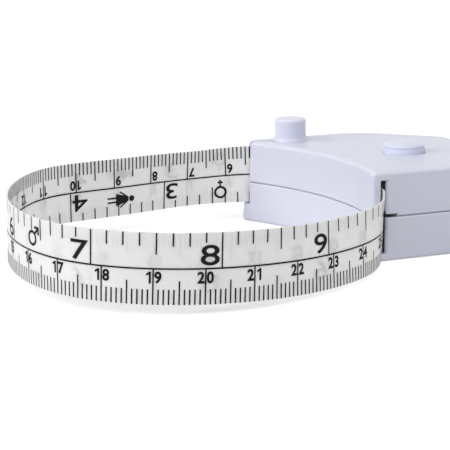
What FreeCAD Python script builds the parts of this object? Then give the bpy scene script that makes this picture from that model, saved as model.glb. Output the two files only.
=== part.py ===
"""Body tape measure: a flat case with a concave side, a sprung tape on a spool, a retract button that frees
the spool's brake, and a peg on the tape's end that drops into a hole in the case's wing.

Millimetres. The origin is on the spool's axis, at the case's underside. +Z is up. +X points from the concave
side to the far end, and +Y to the wing that takes the peg.
"""

import FreeCAD, Part
import math
import os

from FreeCAD import Vector

# ---- Tape ----
TAPE_WIDTH = 14.0
TAPE_THICK = 0.35
TAPE_WOUND = 1290.0  # length still on the spool
TAPE_PLAY = 0.1  # between the wound tape and each flange
WING_LIFT = 2.75  # the tape's end sits this much higher in the wing than in the spool

# ---- Spool ----
HUB_RADIUS = 8.6
HUB_WALL = 1.0
LOWER_FLANGE = 0.5
UPPER_FLANGE = 0.8
FLANGE_LIP = 0.5  # flange beyond the wound tape
FLANGE_GAP = 0.25  # lower flange above the case floor
HEADROOM = 1.5  # upper flange below the case roof
WEB_THICK = 1.0
WEB_DROP = 3.05  # top of the hub down to the top of its web
WEB_HOLE_PLAY = 0.6
JOURNAL_PLAY = 0.05  # hub on the rings of the floor and the roof
JOURNAL_WALL = 0.9
JOURNAL_LAP = 0.9  # how far the rings reach into the hub
WINDOW_COUNT = 6
WINDOW_RADIUS = 1.9
WASHER_THICK = 0.4
WASHER_WIDTH = 2.0
WASHER_PLAY = 0.15  # washer above the upper flange

# ---- Case ----
WALL = 1.4
FLOOR = 1.3
ROOF = 1.55
SIDE_GAP = 0.85  # flange to the inside of the concave wall
BODY_ARC = 67.0  # radius of the concave side
BODY_ARC_Y = -3.3
PEG_SIDE = 33.6  # spool axis to the side behind the peg
TAPE_SIDE = 21.4  # spool axis to the side with the tape slot
FAR_SIDE = 21.2
CORNER_CUT = 16.0
CUT_ROUND = 14.0  # where a side meets its corner cut
FAR_ROUND = 2.5
SLOT_CORNER_ROUND = 0.9
TIP_ROUND_TOP = 3.3
TIP_ROUND_FOOT = 1.6
RIM_ROUND_TOP = 1.0
RIM_ROUND_FOOT = 0.8
LOWER_HEIGHT = 9.9
SEAM_GAP = 0.3
SEAM_DEPTH = 0.5  # shadow gap between the shells, from the outside to the lid's rebate
SEAM_ROUND_LID = 0.3
SEAM_ROUND_BASE = 0.2
TONGUE_HEIGHT = 1.0
TONGUE_PLAY = 0.1
OVERCUT = 1.0  # cutting shapes run past what they cut by this much

# ---- Tape slot in the case's side ----
SLOT_POST = 2.2  # wall between the concave side and the slot
SLOT_WIDTH = 1.6
SLOT_BELOW = 0.4  # slot beyond the tape's edges
SLOT_ABOVE = 2.0
SLOT_LIP = 0.75  # round of the slot's edge on the far side
SLOT_WALL = 0.85  # side wall behind the lip, thinned from the inside
SLOT_THINNED = 2.0  # width of the thinned wall beside the slot
SLOT_NOTCH = 2.8  # notch beside the slot, in the lid's lower edge
SLOT_NOTCH_HEIGHT = 0.7
SLOT_NOTCH_DEPTH = 1.8
SLOT_TAPE = 0.45  # tape's middle in the slot, from the post
SLOT_LEAN = -0.2  # how far the tape's top edge leans inwards in the slot
LEAD_STOP = 4.0  # the straight lead ends this far inside the case's side
LEAD_CLEAR = 0.35  # tape lead to the inside of the concave wall
LEAD_GAP = 0.15  # tape lead to the wound tape

# ---- Retract button, its brake and its spring ----
BUTTON_RADIUS = 4.95
BUTTON_PLAY = 0.1
BUTTON_PROUD = 2.65
BUTTON_STEP = 1.3  # height of the lower step above the lid
BUTTON_GROOVE = 0.15
BUTTON_CROWN = 0.65
BUTTON_EDGE = 0.3
BUTTON_DEPTH = 2.6  # cap below the lid's top
BUTTON_TRAVEL = 1.3
STEM_RADIUS = 1.3
STEM_KEY = 1.8  # square tail of the stem
KEY_PLAY = 0.05
BRAKE_RADIUS = 6.6
BRAKE_THICK = 1.0
BRAKE_PAD = 0.5
BRAKE_GAP = 0.05  # pad to the web
PAD_WIDTH = 2.4
CLIP_RADIUS = 2.5
CLIP_THICK = 0.25
CLIP_SLITS = 3
CLIP_SLIT_WIDTH = 0.3
POST_RADIUS = 2.9
POST_GAP = 0.4  # post to the pressed clip
KEY_SOCKET = 4.5  # depth of the square socket below the spring's seat
SPRING_SEAT = 3.4  # depth of the spring's seat in the post
SPRING_WIRE = 0.32
SPRING_TURNS = 5
SPRING_PLAY = 0.12

# ---- Mainspring ----
BAND_THICK = 0.15
BAND_TURNS = 8
BAND_PLAY = 0.25  # above the floor ring, below the cover, and to the post and the hub
COVER_THICK = 0.5
COVER_HOLE = 0.5  # cover's hole beyond the post
COVER_GAP = 0.2  # cover to the pressed brake
TANG = 0.8  # length of the inner end, in the post's slot
HOOK_WIDTH = 1.2  # slit in the drum for the band's outer end

# ---- Peg ----
PEG_X = -16.6
PEG_Y = 27.3
PEG_RADIUS = 3.83
PEG_PROUD = 5.65
PEG_EDGE = 0.7
COLLAR_LIP = 0.37
COLLAR_HEIGHT = 1.3
SHANK_RADIUS = 3.6
SHANK_PLAY = 0.05
SHANK_BELOW = 0.8  # shank below the tape's lower edge
HOLE_BELOW = 0.6
SPIGOT_RADIUS = 1.8
SPIGOT_LENGTH = 3.0
PIN_RADIUS = 0.7
EYE_PLAY = 0.15
WING_SLOT = 1.1
WING_SLOT_ANGLE = 160.9
CORE_SLIT = 0.8
TAIL_LENGTH = 9.6
TAIL_GAP = 0.15
BOSS_WALL = 1.6
RIB_REACH = 6.0  # ribs and slot of the wing run this far past the tape's tail, out through the tip

# ---- Screws ----
SCREW_RADIUS = 0.9
SCREW_HEAD = 1.7
SCREW_HEAD_HEIGHT = 1.2
SCREW_LENGTH = 10.0
SCREW_SINK = 4.2
SCREW_PLAY = 0.15
SCREW_BOSS = 2.7
SCREW_FAR_INSET = 6.8  # screw in the cut corner, from the far side
SCREW_CORNER_INSET = 15.1  # and from the side behind the peg
BOSS_LAP = 0.7  # how far a boss runs into the wall or boss beside it
SCREW_RECESS = 0.7
SCREW_RECESS_WIDTH = 0.4

# Free loop of the tape, from the slot round to the wing: x, y, height above the tape's middle on the spool,
# and how far the top edge leans inwards. The points beyond the loop's neck stretch with its reach.
LOOP_REACH = 96.8  # spool axis to the loop's far turn
LOOP_NECK = 37.2
LOOP_POINTS = [
    (-19.5, -25.4, -0.35, -0.33),
    (-21.2, -28.3, -0.6, -0.33),
    (-23.7, -31.2, -0.8, -0.2),
    (-28.0, -34.9, -0.9, 0.1),
    (-37.2, -39.9, -1.0, 0.3),
    (-56.4, -45.4, -0.5, 0.2),
    (-76.1, -43.2, 0.2, 0.0),
    (-91.0, -33.0, 0.9, -0.1),
    (-96.8, -14.0, 1.4, -0.2),
    (-93.8, 2.0, 1.7, -0.1),
    (-87.2, 17.2, 1.9, 0.1),
    (-77.8, 26.8, 2.0, 0.1),
    (-63.5, 30.0, 2.1, 0.2),
    (-50.0, 32.3, 2.2, 0.6),
    (-37.0, 33.0, 2.4, 0.9),
]

# ---- Derived levels and radii ----
FLANGE_Z = FLOOR + FLANGE_GAP
TAPE_Z = FLANGE_Z + LOWER_FLANGE + TAPE_PLAY
TAPE_MID = TAPE_Z + TAPE_WIDTH / 2
HUB_TOP = TAPE_Z + TAPE_WIDTH + TAPE_PLAY + UPPER_FLANGE
ROOF_Z = HUB_TOP + HEADROOM
CASE_HEIGHT = ROOF_Z + ROOF
HUB_BORE = HUB_RADIUS - HUB_WALL
COIL_RADIUS = math.sqrt(HUB_RADIUS**2 + TAPE_WOUND * TAPE_THICK / math.pi)
FLANGE_RADIUS = COIL_RADIUS + FLANGE_LIP
WAIST = FLANGE_RADIUS + SIDE_GAP + WALL
ARC_X = -WAIST - BODY_ARC
WEB_TOP = HUB_TOP - WEB_DROP
WEB_Z = WEB_TOP - WEB_THICK
BRAKE_TOP = WEB_Z - BRAKE_GAP - BRAKE_PAD
BRAKE_Z = BRAKE_TOP - BRAKE_THICK
CLIP_Z = BRAKE_Z - CLIP_THICK
POST_TOP = CLIP_Z - BUTTON_TRAVEL - POST_GAP
SEAT_Z = POST_TOP - SPRING_SEAT
SOCKET_Z = max(SEAT_Z - KEY_SOCKET, FLOOR + 0.4)
COVER_TOP = BRAKE_Z - BUTTON_TRAVEL - COVER_GAP
JOURNAL_RADIUS = HUB_BORE - JOURNAL_PLAY
JOURNAL_TOP = FLANGE_Z + JOURNAL_LAP
WASHER_Z = HUB_TOP + WASHER_PLAY
SHOULDER_Z = WASHER_Z + WASHER_THICK
BAND_Z = JOURNAL_TOP + BAND_PLAY
BAND_TOP = COVER_TOP - COVER_THICK - BAND_PLAY
WING_MID = TAPE_MID + WING_LIFT
WING_TAPE_Z = WING_MID - TAPE_WIDTH / 2
SHANK_Z = WING_TAPE_Z - SHANK_BELOW
HOLE_Z = SHANK_Z - HOLE_BELOW
HOLE_RADIUS = SHANK_RADIUS + SHANK_PLAY
EYE_RADIUS = PIN_RADIUS + TAPE_THICK
WING_DIRECTION = Vector(math.cos(math.radians(WING_SLOT_ANGLE)), math.sin(math.radians(WING_SLOT_ANGLE)), 0)
PEG = Vector(PEG_X, PEG_Y, 0)


def lead_line():
    """Angle of the straight tape between the spool and the slot: it touches the wound tape on one side and
    stays clear of the concave wall on the other, so it is the crossed tangent of two circles."""
    coil = COIL_RADIUS + LEAD_GAP + TAPE_THICK / 2
    wall = BODY_ARC + WALL + LEAD_CLEAR + TAPE_THICK / 2
    span = math.hypot(ARC_X, BODY_ARC_Y)
    centres = math.atan2(-BODY_ARC_Y, -ARC_X)
    return centres + math.asin(min(1.0, (coil + wall) / span)), coil


LEAD_ANGLE, LEAD_RADIUS = lead_line()
LEAD_DIRECTION = Vector(math.cos(LEAD_ANGLE), math.sin(LEAD_ANGLE), 0)
LEAD_START = Vector(-math.sin(LEAD_ANGLE), math.cos(LEAD_ANGLE), 0) * LEAD_RADIUS
LEAD_END = LEAD_START + LEAD_DIRECTION * ((LEAD_STOP - TAPE_SIDE - LEAD_START.y) / LEAD_DIRECTION.y)
SLOT_NEAR = ARC_X + math.sqrt(BODY_ARC**2 - (TAPE_SIDE + BODY_ARC_Y) ** 2) + SLOT_POST
SLOT_FAR = SLOT_NEAR + SLOT_WIDTH
SLOT_Z = TAPE_Z - SLOT_BELOW
SLOT_TOP = TAPE_Z + TAPE_WIDTH + SLOT_ABOVE

SCREW_PLACES = [
    Vector(FAR_SIDE - SCREW_FAR_INSET, PEG_SIDE - SCREW_CORNER_INSET, 0),
    Vector(PEG_X + HOLE_RADIUS + BOSS_WALL + SCREW_BOSS - BOSS_LAP, PEG_Y, 0),
    Vector(SLOT_FAR + SLOT_NOTCH + SCREW_BOSS, -TAPE_SIDE + WALL + SCREW_BOSS - BOSS_LAP, 0),
]


# ---- Helpers ----
def cylinder(radius, low, high, centre=Vector()):
    return Part.makeCylinder(radius, high - low, Vector(centre.x, centre.y, low))


def tube(outer, inner, low, high, centre=Vector()):
    return cylinder(outer, low, high, centre).cut(cylinder(inner, low - 1, high + 1, centre))


def box(low, high):
    size = high - low
    return Part.makeBox(size.x, size.y, size.z, low)


def slab(low, high):
    """Block wider than the case between two heights."""
    return box(Vector(-BODY_ARC, -BODY_ARC, low), Vector(BODY_ARC, BODY_ARC, high))


def bar(start, direction, length, width, low, high):
    """Upright bar of the given width along a level direction."""
    block = Part.makeBox(length, width, high - low, Vector(0, -width / 2, low))
    block.rotate(Vector(), Vector(0, 0, 1), math.degrees(math.atan2(direction.y, direction.x)))
    block.translate(Vector(start.x, start.y, 0))
    return block


def revolve(points):
    """Solid of revolution about Z from (radius, height) points."""
    wire = Part.makePolygon([Vector(r, 0, z) for r, z in points + points[:1]])
    return Part.Face(wire).revolve(Vector(), Vector(0, 0, 1), 360)


def arc_x(y, inset):
    """Where the concave side, moved inwards by inset, crosses a given y."""
    return ARC_X + math.sqrt((BODY_ARC + inset) ** 2 - (y - BODY_ARC_Y) ** 2)


def plan_corners(inset):
    """Corners of the case's plan, from the peg's tip round the far end to the slot's corner."""
    leg = CORNER_CUT - inset * (2 - math.sqrt(2))
    top, foot, far = PEG_SIDE - inset, inset - TAPE_SIDE, FAR_SIDE - inset
    return [
        Vector(arc_x(top, inset), top, 0),
        Vector(far - leg, top, 0),
        Vector(far, top - leg, 0),
        Vector(far, foot + leg, 0),
        Vector(far - leg, foot, 0),
        Vector(arc_x(foot, inset), foot, 0),
    ]


def upright_edge(solid, corner):
    """The vertical edge that stands at a corner of the plan."""
    for edge in solid.Edges:
        ends = [vertex.Point for vertex in edge.Vertexes]
        if len(ends) == 2 and all(math.hypot(p.x - corner.x, p.y - corner.y) < 1e-4 for p in ends):
            return edge
    raise ValueError("no upright edge at this corner")


def plan_prism(inset, low, high):
    """The case's plan, moved inwards by inset, as a prism between two heights."""
    corners = plan_corners(inset)
    middle = Vector(ARC_X + BODY_ARC + inset, BODY_ARC_Y, 0)
    edges = [Part.makeLine(a, b) for a, b in zip(corners, corners[1:])]
    edges.append(Part.Arc(corners[-1], middle, corners[0]).toShape())
    prism = Part.Face(Part.Wire(edges)).extrude(Vector(0, 0, high - low))
    prism.translate(Vector(0, 0, low))
    rounds = list(zip(corners[1:5], (CUT_ROUND, FAR_ROUND, FAR_ROUND, CUT_ROUND)))
    if inset > 0:
        rounds.append((corners[0], TIP_ROUND_TOP))
    for corner, radius in rounds:
        prism = prism.makeFillet(radius - inset, [upright_edge(prism, corner)])
    return prism


def rim_edges(solid, height):
    return [e for e in solid.Edges if abs(e.BoundBox.ZMin - height) < 1e-4 and e.BoundBox.ZLength < 1e-4]


# ---- Case ----
def case_body():
    """The case's outside as one solid, with every rounded edge."""
    body = plan_prism(0, 0, CASE_HEIGHT)
    corners = plan_corners(0)
    body = body.makeFillet(SLOT_CORNER_ROUND, [upright_edge(body, corners[-1])])
    tip = upright_edge(body, corners[0])
    rising = tip.Vertexes[0].Point.z < tip.Vertexes[-1].Point.z
    ends = (TIP_ROUND_FOOT, TIP_ROUND_TOP) if rising else (TIP_ROUND_TOP, TIP_ROUND_FOOT)
    body = body.makeFillet(ends[0], ends[1], [tip])
    body = body.makeFillet(RIM_ROUND_FOOT, rim_edges(body, 0))
    return body.makeFillet(RIM_ROUND_TOP, rim_edges(body, CASE_HEIGHT))


def wing_block(low, high):
    """Boss round the peg's hole and the two ribs beside the tape's slot, as one block."""
    reach = TAIL_LENGTH + RIB_REACH
    ribs = bar(PEG, WING_DIRECTION, reach, WING_SLOT + 2 * BOSS_WALL, low, high)
    boss = cylinder(HOLE_RADIUS + BOSS_WALL, low, high, PEG)
    return boss.fuse(ribs).common(plan_prism(WALL / 2, low, high))


def wing_cut():
    """The peg's hole and the open slot from it out through the tip."""
    top = CASE_HEIGHT + OVERCUT
    reach = TAIL_LENGTH + RIB_REACH + OVERCUT
    hole = cylinder(HOLE_RADIUS, HOLE_Z, top, PEG)
    slot = bar(PEG, WING_DIRECTION, reach, WING_SLOT, WING_TAPE_Z - SLOT_BELOW, top)
    return hole.fuse(slot)


def tape_slot_cut():
    """Slot in the side wall, with a round lip on its far side and a thinned wall behind that."""
    outside = -TAPE_SIDE
    inside = outside + WALL + OVERCUT
    slot = box(Vector(SLOT_NEAR, outside - OVERCUT, SLOT_Z), Vector(SLOT_FAR, inside, SLOT_TOP))
    behind = Vector(SLOT_NEAR, outside + SLOT_WALL, SLOT_Z)
    thinned = box(behind, Vector(SLOT_FAR + SLOT_THINNED, inside, SLOT_TOP))
    middle = Vector(SLOT_FAR + SLOT_LIP, outside + SLOT_LIP, 0)
    corner = box(Vector(SLOT_FAR, outside, SLOT_Z), Vector(middle.x, middle.y, SLOT_TOP))
    lip = corner.cut(cylinder(SLOT_LIP, SLOT_Z - OVERCUT, SLOT_TOP + OVERCUT, middle))
    return slot.multiFuse([thinned, lip])


def tongue(outer, inner, low, high):
    """Ring along the wall between two insets of the plan."""
    return plan_prism(outer, low, high).cut(plan_prism(inner, low - OVERCUT, high + OVERCUT))


def screw_bosses(low, high):
    inside = plan_prism(WALL / 2, low, high)
    return [cylinder(SCREW_BOSS, low, high, place).common(inside) for place in SCREW_PLACES]


def seam_notch(low, high):
    """Notch beside the tape's slot, in the shells' meeting edges."""
    start = Vector(SLOT_NEAR + SLOT_WIDTH / 2, -TAPE_SIDE - OVERCUT, low)
    return box(start, Vector(SLOT_FAR + SLOT_NOTCH, -TAPE_SIDE + SLOT_NOTCH_DEPTH, high))


def lower_shell(body):
    """Base half: floor, wall, tongue, post for the mainspring, ring for the hub, bosses."""
    rim = LOWER_HEIGHT - SEAM_GAP / 2
    shell = body.common(slab(-OVERCUT, rim))
    shell = shell.makeFillet(SEAM_ROUND_BASE, rim_edges(shell, rim))
    shell = shell.cut(plan_prism(WALL, FLOOR, rim + OVERCUT))
    shell = shell.fuse(tongue(SEAM_DEPTH + TONGUE_PLAY, WALL, FLOOR, LOWER_HEIGHT + TONGUE_HEIGHT))
    additions = screw_bosses(FLOOR / 2, LOWER_HEIGHT)
    additions.append(wing_block(FLOOR / 2, LOWER_HEIGHT))
    additions.append(cylinder(POST_RADIUS, FLOOR / 2, POST_TOP))
    additions.append(tube(JOURNAL_RADIUS, JOURNAL_RADIUS - JOURNAL_WALL, FLOOR / 2, JOURNAL_TOP))
    shell = shell.multiFuse(additions).common(body)
    key = STEM_KEY / 2 + KEY_PLAY
    half_band = BAND_THICK / 2
    above = POST_TOP + OVERCUT
    cuts = [
        cylinder(spring_radius() + SPRING_WIRE + SPRING_PLAY, SEAT_Z, above),
        box(Vector(-key, -key, SOCKET_Z), Vector(key, key, POST_TOP)),
        box(Vector(0, -half_band, BAND_Z), Vector(POST_RADIUS + OVERCUT, half_band, above)),
        wing_cut(),
        tape_slot_cut(),
    ]
    for place in SCREW_PLACES:
        cuts.append(cylinder(SCREW_HEAD + SCREW_PLAY, -OVERCUT, SCREW_SINK, place))
        cuts.append(cylinder(SCREW_RADIUS + SCREW_PLAY, -OVERCUT, LOWER_HEIGHT + OVERCUT, place))
    cuts.append(seam_notch(rim, LOWER_HEIGHT + TONGUE_HEIGHT + OVERCUT))
    return shell.cut(cuts).removeSplitter()


def upper_shell(body):
    """Lid half: roof, wall with the rebate for the tongue, button hole, ring for the hub, bosses."""
    rim = LOWER_HEIGHT + SEAM_GAP / 2
    shell = body.common(slab(rim, CASE_HEIGHT + OVERCUT))
    shell = shell.makeFillet(SEAM_ROUND_LID, rim_edges(shell, rim))
    shell = shell.cut(plan_prism(WALL, rim - OVERCUT, ROOF_Z))
    collar = BUTTON_RADIUS + BUTTON_PLAY
    additions = screw_bosses(LOWER_HEIGHT, ROOF_Z + ROOF / 2)
    additions.append(wing_block(LOWER_HEIGHT, ROOF_Z + ROOF / 2))
    additions.append(tube(JOURNAL_RADIUS, collar, HUB_TOP - JOURNAL_LAP, ROOF_Z + ROOF / 2))
    additions.append(tube(JOURNAL_RADIUS + WASHER_WIDTH, collar, SHOULDER_Z, ROOF_Z + ROOF / 2))
    shell = shell.multiFuse(additions).common(body)
    rebate_top = LOWER_HEIGHT + TONGUE_HEIGHT + TONGUE_PLAY
    rebate = tongue(SEAM_DEPTH, WALL + TONGUE_PLAY, LOWER_HEIGHT - OVERCUT, rebate_top)
    cuts = [rebate, cylinder(collar, 0, CASE_HEIGHT + OVERCUT), wing_cut(), tape_slot_cut()]
    for place in SCREW_PLACES:
        cuts.append(cylinder(SCREW_RADIUS, 0, SCREW_SINK + SCREW_LENGTH + SCREW_PLAY, place))
    cuts.append(seam_notch(LOWER_HEIGHT, LOWER_HEIGHT + SLOT_NOTCH_HEIGHT))
    return shell.cut(cuts).removeSplitter()


def case_screw(place):
    """Self-tapping screw with a cross recess, head down."""
    head = cylinder(SCREW_HEAD, SCREW_SINK - SCREW_HEAD_HEIGHT, SCREW_SINK, place)
    head = head.makeFillet(SCREW_HEAD_HEIGHT / 3, rim_edges(head, SCREW_SINK - SCREW_HEAD_HEIGHT))
    shank = cylinder(SCREW_RADIUS, SCREW_SINK, SCREW_SINK + SCREW_LENGTH, place)
    low = SCREW_SINK - SCREW_HEAD_HEIGHT - 1
    arms = [
        bar(
            place - direction * (SCREW_HEAD * 0.6),
            direction,
            SCREW_HEAD * 1.2,
            SCREW_RECESS_WIDTH,
            low,
            low + 1 + SCREW_RECESS,
        )
        for direction in (Vector(1, 0, 0), Vector(0, 1, 0))
    ]
    return head.fuse(shank).cut(arms)


# ---- Spool ----
def tape_spool():
    """Drum with its upper flange, its inner web, and the slits for the tape's end and the spring's hook."""
    drum = tube(HUB_RADIUS, HUB_BORE, FLANGE_Z, HUB_TOP)
    flange = tube(FLANGE_RADIUS, HUB_RADIUS - HUB_WALL / 2, HUB_TOP - UPPER_FLANGE, HUB_TOP)
    web = tube(HUB_RADIUS - HUB_WALL / 2, STEM_RADIUS + WEB_HOLE_PLAY, WEB_Z, WEB_TOP)
    slit = box(Vector(HUB_BORE - 1, -TAPE_THICK, TAPE_Z), Vector(HUB_RADIUS + 1, TAPE_THICK, COVER_TOP))
    hook_side = HOOK_WIDTH / 2
    hook = box(Vector(-HUB_RADIUS - 1, -hook_side, BAND_Z), Vector(-HUB_BORE + 1, hook_side, BAND_TOP))
    return drum.multiFuse([flange, web]).cut([slit, hook, windows(HUB_TOP - UPPER_FLANGE, HUB_TOP)])


def windows(low, high):
    """Ring of round holes that lighten a flange."""
    middle = (HUB_RADIUS + COIL_RADIUS) / 2
    holes = []
    for index in range(WINDOW_COUNT):
        angle = 2 * math.pi * index / WINDOW_COUNT
        centre = Vector(middle * math.cos(angle), middle * math.sin(angle), 0)
        holes.append(cylinder(WINDOW_RADIUS, low - 1, high + 1, centre))
    return Part.makeCompound(holes)


def spool_flange():
    ring = tube(FLANGE_RADIUS, HUB_RADIUS, FLANGE_Z, FLANGE_Z + LOWER_FLANGE)
    return ring.cut(windows(FLANGE_Z, FLANGE_Z + LOWER_FLANGE))


def wound_tape():
    return tube(COIL_RADIUS, HUB_RADIUS, TAPE_Z, TAPE_Z + TAPE_WIDTH)


def spring_cover():
    return tube(HUB_BORE, POST_RADIUS + COVER_HOLE, COVER_TOP - COVER_THICK, COVER_TOP)


def spool_washer():
    """Slip washer pressed on the roof's ring, above the upper flange."""
    return tube(JOURNAL_RADIUS + WASHER_WIDTH, JOURNAL_RADIUS, WASHER_Z, SHOULDER_Z)


def spiral_side(first, step, count):
    """Half circles about two centres, each wider than the last by one step, that run on smoothly."""
    arcs = []
    for index in range(count):
        radius = first + index * step
        side = 1 if index % 2 == 0 else -1
        centre = -side * step / 2
        places = [(centre + side * radius, 0), (centre, side * radius), (centre - side * radius, 0)]
        arcs.append(Part.Arc(*[Vector(x, y, BAND_Z) for x, y in places]).toShape())
    return arcs


def mainspring():
    """Flat spiral band from a tang in the post's slot out to the drum's wall."""
    first = POST_RADIUS + BAND_PLAY
    last = HUB_BORE - BAND_PLAY - BAND_THICK
    count = 2 * BAND_TURNS + 1
    step = (last - first) / (count - 1)
    inner = spiral_side(first, step, count)
    outer = spiral_side(first + BAND_THICK, step, count)
    start = first - step / 2
    end = -last - step / 2
    lines = [
        Part.makeLine(Vector(start, 0, BAND_Z), Vector(start + BAND_THICK, 0, BAND_Z)),
        Part.makeLine(Vector(end, 0, BAND_Z), Vector(end - BAND_THICK, 0, BAND_Z)),
    ]
    outline = Part.Wire(Part.sortEdges(inner + outer + lines)[0])
    band = Part.Face(outline).extrude(Vector(0, 0, BAND_TOP - BAND_Z))
    half = BAND_THICK / 2
    tang = box(Vector(start - TANG, -half, BAND_Z), Vector(start + half, half, min(BAND_TOP, POST_TOP)))
    return band.fuse(tang)


# ---- Button and brake ----
def retract_button():
    """Stepped cap with a crowned top, and a stem whose square tail keeps it from turning."""
    lid = CASE_HEIGHT
    top = lid + BUTTON_PROUD
    groove = lid + BUTTON_STEP
    upper = BUTTON_RADIUS - BUTTON_GROOVE
    cap = revolve(
        [
            (0, lid - BUTTON_DEPTH),
            (BUTTON_RADIUS, lid - BUTTON_DEPTH),
            (BUTTON_RADIUS, groove - BUTTON_GROOVE / 2),
            (upper - BUTTON_GROOVE, groove),
            (upper, groove + BUTTON_GROOVE / 2),
            (upper, top),
            (0, top),
        ]
    )
    ball = (BUTTON_RADIUS**2 + BUTTON_CROWN**2) / (2 * BUTTON_CROWN)
    cap = cap.common(Part.makeSphere(ball, Vector(0, 0, top - ball)))
    above = groove + BUTTON_GROOVE
    crowned = [e for e in cap.Edges if e.BoundBox.ZMin > above and e.BoundBox.ZLength < 1e-4]
    cap = cap.makeFillet(BUTTON_EDGE, crowned)
    tail = SOCKET_Z + BUTTON_TRAVEL + KEY_PLAY * 4
    shoulder = SEAT_Z + BUTTON_TRAVEL + KEY_PLAY * 4
    half = STEM_KEY / 2
    stem = cylinder(STEM_RADIUS, shoulder, lid - BUTTON_DEPTH + 0.5)
    key = box(Vector(-half, -half, tail), Vector(half, half, shoulder + 0.5))
    return cap.multiFuse([stem, key])


def brake_disc():
    return tube(BRAKE_RADIUS, STEM_RADIUS, BRAKE_Z, BRAKE_TOP)


def brake_washer():
    return tube(BRAKE_RADIUS, BRAKE_RADIUS - PAD_WIDTH, BRAKE_TOP, BRAKE_TOP + BRAKE_PAD)


def stem_clip():
    """Push-on clip: a thin ring with teeth that bite the stem."""
    clip = tube(CLIP_RADIUS, STEM_RADIUS, CLIP_Z, BRAKE_Z)
    slits = []
    for index in range(CLIP_SLITS):
        angle = 2 * math.pi * index / CLIP_SLITS
        outwards = Vector(math.cos(angle), math.sin(angle), 0)
        length = (STEM_RADIUS + CLIP_RADIUS) / 2
        slits.append(bar(Vector(), outwards, length, CLIP_SLIT_WIDTH, CLIP_Z - 1, BRAKE_Z + 1))
    return clip.cut(slits)


def spring_radius():
    """Middle of the return spring's wire from the stem's axis, less half the wire."""
    return STEM_RADIUS + SPRING_PLAY


def return_spring():
    """Coil between the seat in the post and the clip under the brake."""
    half = SPRING_WIRE / 2
    middle = spring_radius() + half
    height = CLIP_Z - SEAT_Z - SPRING_WIRE
    helix = Part.makeHelix(height / SPRING_TURNS, height, middle)
    helix.translate(Vector(0, 0, SEAT_Z + half))
    wire = Part.Wire(helix.Edges)
    section = Part.Wire(Part.makeCircle(half, Vector(middle, 0, SEAT_Z + half), Vector(0, 1, 0)))
    return wire.makePipeShell([section], True, True)


# ---- Peg and the tape's end ----
def locking_peg():
    """Head of the peg: a plain grip with a softened top edge, on a flared foot that rests on the lid."""
    top = CASE_HEIGHT + PEG_PROUD
    foot = Vector(PEG_X, PEG_Y, CASE_HEIGHT)
    collar = Part.makeCone(PEG_RADIUS + COLLAR_LIP, PEG_RADIUS, COLLAR_HEIGHT, foot)
    grip = cylinder(PEG_RADIUS, CASE_HEIGHT + COLLAR_HEIGHT, top, PEG)
    grip = grip.makeFillet(PEG_EDGE, rim_edges(grip, top))
    socket = cylinder(SPIGOT_RADIUS, CASE_HEIGHT - OVERCUT, CASE_HEIGHT + SPIGOT_LENGTH, PEG)
    return grip.fuse(collar).cut(socket)


def peg_core():
    """Shank of the peg, with the bore and the slit that hold the tape's end loop."""
    shank = cylinder(SHANK_RADIUS, SHANK_Z, CASE_HEIGHT, PEG)
    shank = shank.makeFillet(SHANK_BELOW / 2, rim_edges(shank, SHANK_Z))
    spigot = cylinder(SPIGOT_RADIUS, CASE_HEIGHT, CASE_HEIGHT + SPIGOT_LENGTH, PEG)
    top = WING_TAPE_Z + TAPE_WIDTH + EYE_PLAY
    bore = cylinder(EYE_RADIUS + EYE_PLAY, SHANK_Z - 1, top, PEG)
    slit = bar(PEG, WING_DIRECTION, SHANK_RADIUS + 1, CORE_SLIT, SHANK_Z - 1, top)
    return shank.fuse(spigot).cut([bore, slit])


def tape_end_pin():
    return cylinder(PIN_RADIUS, WING_TAPE_Z, WING_TAPE_Z + TAPE_WIDTH, PEG)


def tape_tail():
    """The tape's end: an eye round the pin and the straight piece in the wing's slot."""
    top = WING_TAPE_Z + TAPE_WIDTH
    start = PEG + WING_DIRECTION * (PIN_RADIUS + TAPE_THICK / 2)
    length = TAIL_LENGTH - PIN_RADIUS - TAPE_THICK / 2
    straight = bar(start, WING_DIRECTION, length, TAPE_THICK, WING_TAPE_Z, top)
    return tube(EYE_RADIUS, PIN_RADIUS, WING_TAPE_Z, top, PEG).fuse(straight)


def tape_lead():
    """Straight tape inside the case, from the spool to just short of the slot."""
    length = LEAD_END.distanceToPoint(LEAD_START)
    return bar(LEAD_END, LEAD_DIRECTION, length, TAPE_THICK, TAPE_Z, TAPE_Z + TAPE_WIDTH)


def smooth_curve(points, first, last):
    """Smooth curve through the points, with unit end tangents."""
    curve = Part.BSplineCurve()
    curve.interpolate(Points=points, InitialTangent=first, FinalTangent=last, Scale=False)
    return curve


def loop_places():
    """The loop's points, stretched to its reach, after the point where the tape crosses the slot."""
    far = -min(point[0] for point in LOOP_POINTS)
    stretch = (LOOP_REACH - LOOP_NECK) / (far - LOOP_NECK)
    places = [(SLOT_NEAR + SLOT_TAPE, -TAPE_SIDE, 0.0, SLOT_LEAN)]
    for x, y, rise, lean in LOOP_POINTS:
        beyond = max(0.0, -x - LOOP_NECK)
        places.append((x - beyond * (stretch - 1), y, rise, lean))
    return places


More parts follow.
